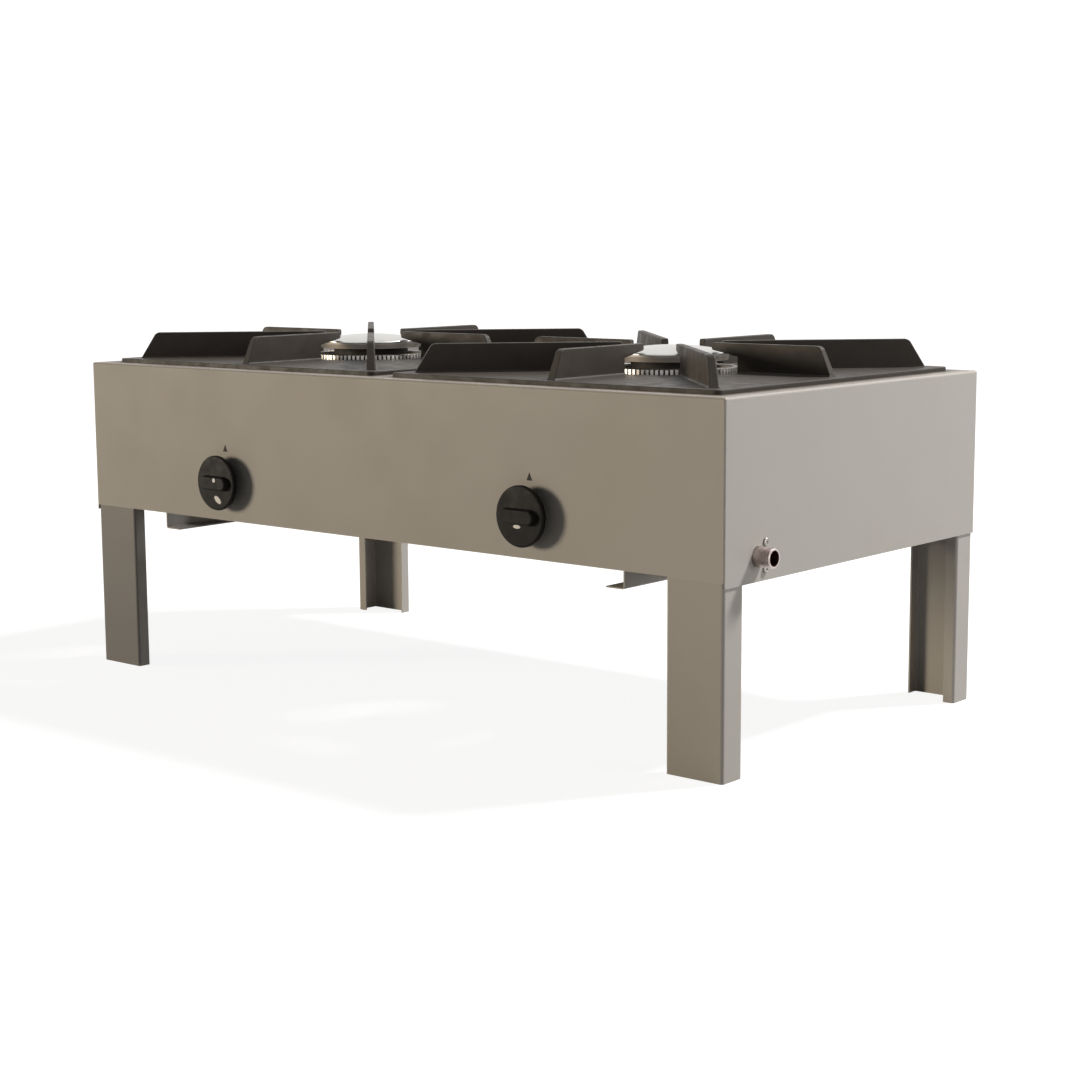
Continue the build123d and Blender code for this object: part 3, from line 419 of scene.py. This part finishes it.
brass = bare_metal("brass", srgb(205, 175, 112), 0.30)
zinc = bare_metal("zinc_steel", srgb(196, 194, 190), 0.34)
shutter_aluminium = bare_metal("shutter_aluminium", srgb(200, 200, 200), 0.40)
for side in BURNERS:
    brass.dress(f"tap_body_{side}", f"tap_bonnet_{side}", f"tap_plug_{side}", f"injector_{side}")
    zinc.dress(f"tap_spindle_{side}", f"tap_spring_{side}")
    shutter_aluminium.dress(f"air_shutter_{side}")
zinc.dress("burner_rail_front", "burner_rail_rear", "burner_bolts", "burner_nuts")
zinc.dress("manifold_bracket", "inlet_bracket", "manifold_plug")
zinc.dress("bonnet_screws", "tap_clamps", "clamp_screws")

# Gas pipe: bare drawn tube with a thin brown film and a dark bore
pipe_steel = bare_metal("pipe_steel", srgb(186, 176, 172), 0.34)
pipe_steel.mottle(srgb(146, 126, 120), scale=55.0, low=0.42, high=0.74, most=0.7)
pipe_away = pipe_steel.length(
    pipe_steel.maths("SUBTRACT", pipe_steel.y, PIPE_Y),
    pipe_steel.maths("SUBTRACT", pipe_steel.z, PIPE_HEIGHT),
)
pipe_steel.tint(pipe_steel.span(pipe_away, *PIPE_BORE, 1.0, 0.0), srgb(112, 78, 68))
pipe_steel.dress(carved("gas_pipe_threaded", "manifold_pipe", [thread_groove()]))

# Pan-head screws beside the inlet, each with a cross recess of two slots
screw_steel = bare_metal("screw_steel", srgb(150, 146, 141), 0.30)
quarters = (0.0, math.pi / 2)
slots = [recess_slot(height, turn + quarter) for height, turn in SCREWS for quarter in quarters]
screw_steel.dress(carved("inlet_pan_screws", "inlet_screws", slots))


# Knobs: moulded black plastic, each with painted highlights: white spots for its glints
def knob_plastic(side, glints):
    """Glints are painted highlights, white ovals in mm from the knob's axis: across, up, half
    length, half width, tilt.
    """
    finish = Finish(f"knob_plastic_{side}", srgb(18, 16, 14), 0.45, specular=0.08)
    finish.mottle(srgb(24, 21, 19), scale=60.0, low=0.40, high=0.75, most=0.6)
    finish.tint(finish.rims(0.0010), srgb(38, 35, 32))
    finish.uneven(scale=90.0, least=0.38, most=0.54)
    finish.grain(scale=1600.0, distance=0.00003, strength=0.5, detail=2.0)
    for across, up, half_long, half_wide, tilt in glints:
        u = finish.maths("SUBTRACT", finish.x, BURNERS[side] + across / 1000)
        v = finish.maths("SUBTRACT", finish.z, TAP_HEIGHT + up / 1000)
        flat = finish.add("ShaderNodeCombineXYZ", {0: u, 1: v}).outputs[0]
        turn = {"Vector": flat, "Angle": -tilt}
        turned = finish.add("ShaderNodeVectorRotate", turn, rotation_type="Z_AXIS").outputs[0]
        long_axis, wide_axis, _ = finish.add("ShaderNodeSeparateXYZ", {0: turned}).outputs
        reach = finish.length(
            finish.maths("DIVIDE", long_axis, half_long / 1000),
            finish.maths("DIVIDE", wide_axis, half_wide / 1000),
        )
        # painted highlight: a white oval where a glint shows
        finish.tint(finish.span(reach, 0.90, 1.10, 1.0, 0.0), srgb(238, 236, 232))
    finish.dress(f"knob_{side}")


knob_plastic("left", [(5.2, 4.4, 2.6, 2.6, 0.0), (4.0, -20.2, 6.6, 3.5, -0.6)])
knob_plastic("right", [(-2.9, -11.0, 5.0, 2.0, 0.0)])


# Studio: a pale floor that keeps the range's shadow, and shows white far off
LIT_PLACE = Vector((0, 0, 0.3))


def pale_floor(half_size, drop):
    mesh = bpy.data.meshes.new("studio_floor")
    corners = [(u * half_size, v * half_size, 0) for u, v in ((-1, -1), (1, -1), (1, 1), (-1, 1))]
    mesh.from_pydata(corners, [], [(0, 1, 2, 3)])
    floor = in_scene("studio_floor", mesh)
    floor.location.z = -drop
    finish = Finish("studio_white", (0.30, 0.30, 0.30, 1.0), 0.9, specular=0.1)
    glow = finish.span(finish.length(finish.x, finish.y), 1.0, 2.6, 0.87, 0.99)
    finish.shader.inputs["Emission Color"].default_value = (1, 1, 1, 1)
    level = finish.maths("MULTIPLY", glow, finish.seen())
    finish.join(level, finish.shader.inputs["Emission Strength"])
    mesh.materials.append(finish.material)


def studio_world(diffuse_level):
    world = bpy.data.worlds.new("studio")
    bpy.context.scene.world = world
    world.use_nodes = True
    tree = Tree(world.node_tree)
    background = tree.tree.nodes["Background"]
    background.inputs["Color"].default_value = (1, 1, 1, 1)
    strength = tree.span(tree.seen(), 0.0, 1.0, diffuse_level, 1.0)
    tree.join(strength, background.inputs["Strength"])


def lamp(name, direction, distance, size, power, colour):
    """A round lamp that looks at the range from a direction."""
    data = bpy.data.lights.new(name, "AREA")
    data.shape = "DISK"
    data.size = size
    data.energy = power
    data.color = colour
    toward = Vector(direction).normalized()
    light = in_scene(name, data)
    light.location = LIT_PLACE + distance * toward
    light.rotation_euler = toward.to_track_quat("Z", "Y").to_euler()


pale_floor(half_size=12.0, drop=0.0002)
studio_world(diffuse_level=0.04)
lamp("front_left", (-0.71, -0.70, 0.10), 20.0, size=5.3, power=2580, colour=(1.0, 0.87, 0.68))
lamp("rear_right", (0.40, 0.53, 0.74), 5.0, size=0.75, power=335, colour=(1.0, 0.98, 0.97))
lamp("right", (1.0, 0.18, 0.08), 5.0, size=2.6, power=75, colour=(1.0, 0.99, 0.98))

# Camera, as it was found from the photograph's straight edges
EYE = (1.65640, -1.89363, 0.55080)
YAW = math.radians(40.4360)
PITCH = math.radians(8.4202)
ROLL = math.radians(-0.3396)
level_reach = math.cos(PITCH)
forward = Vector((-math.sin(YAW) * level_reach, math.cos(YAW) * level_reach, -math.sin(PITCH)))
level_right = forward.cross(Vector((0, 0, 1))).normalized()
level_up = level_right.cross(forward)
camera_right = math.cos(ROLL) * level_right + math.sin(ROLL) * level_up
camera_up = -math.sin(ROLL) * level_right + math.cos(ROLL) * level_up
camera_data = bpy.data.cameras.new("camera")
camera_data.sensor_width = 36.0
camera_data.lens = 68.46
camera_data.clip_start = 0.05
camera_data.clip_end = 60.0
camera = in_scene("camera", camera_data)
facing = Matrix((camera_right, camera_up, -forward)).transposed().to_4x4()
camera.matrix_world = Matrix.Translation(EYE) @ facing
bpy.context.scene.camera = camera
bpy.context.scene.view_settings.view_transform = "Standard"
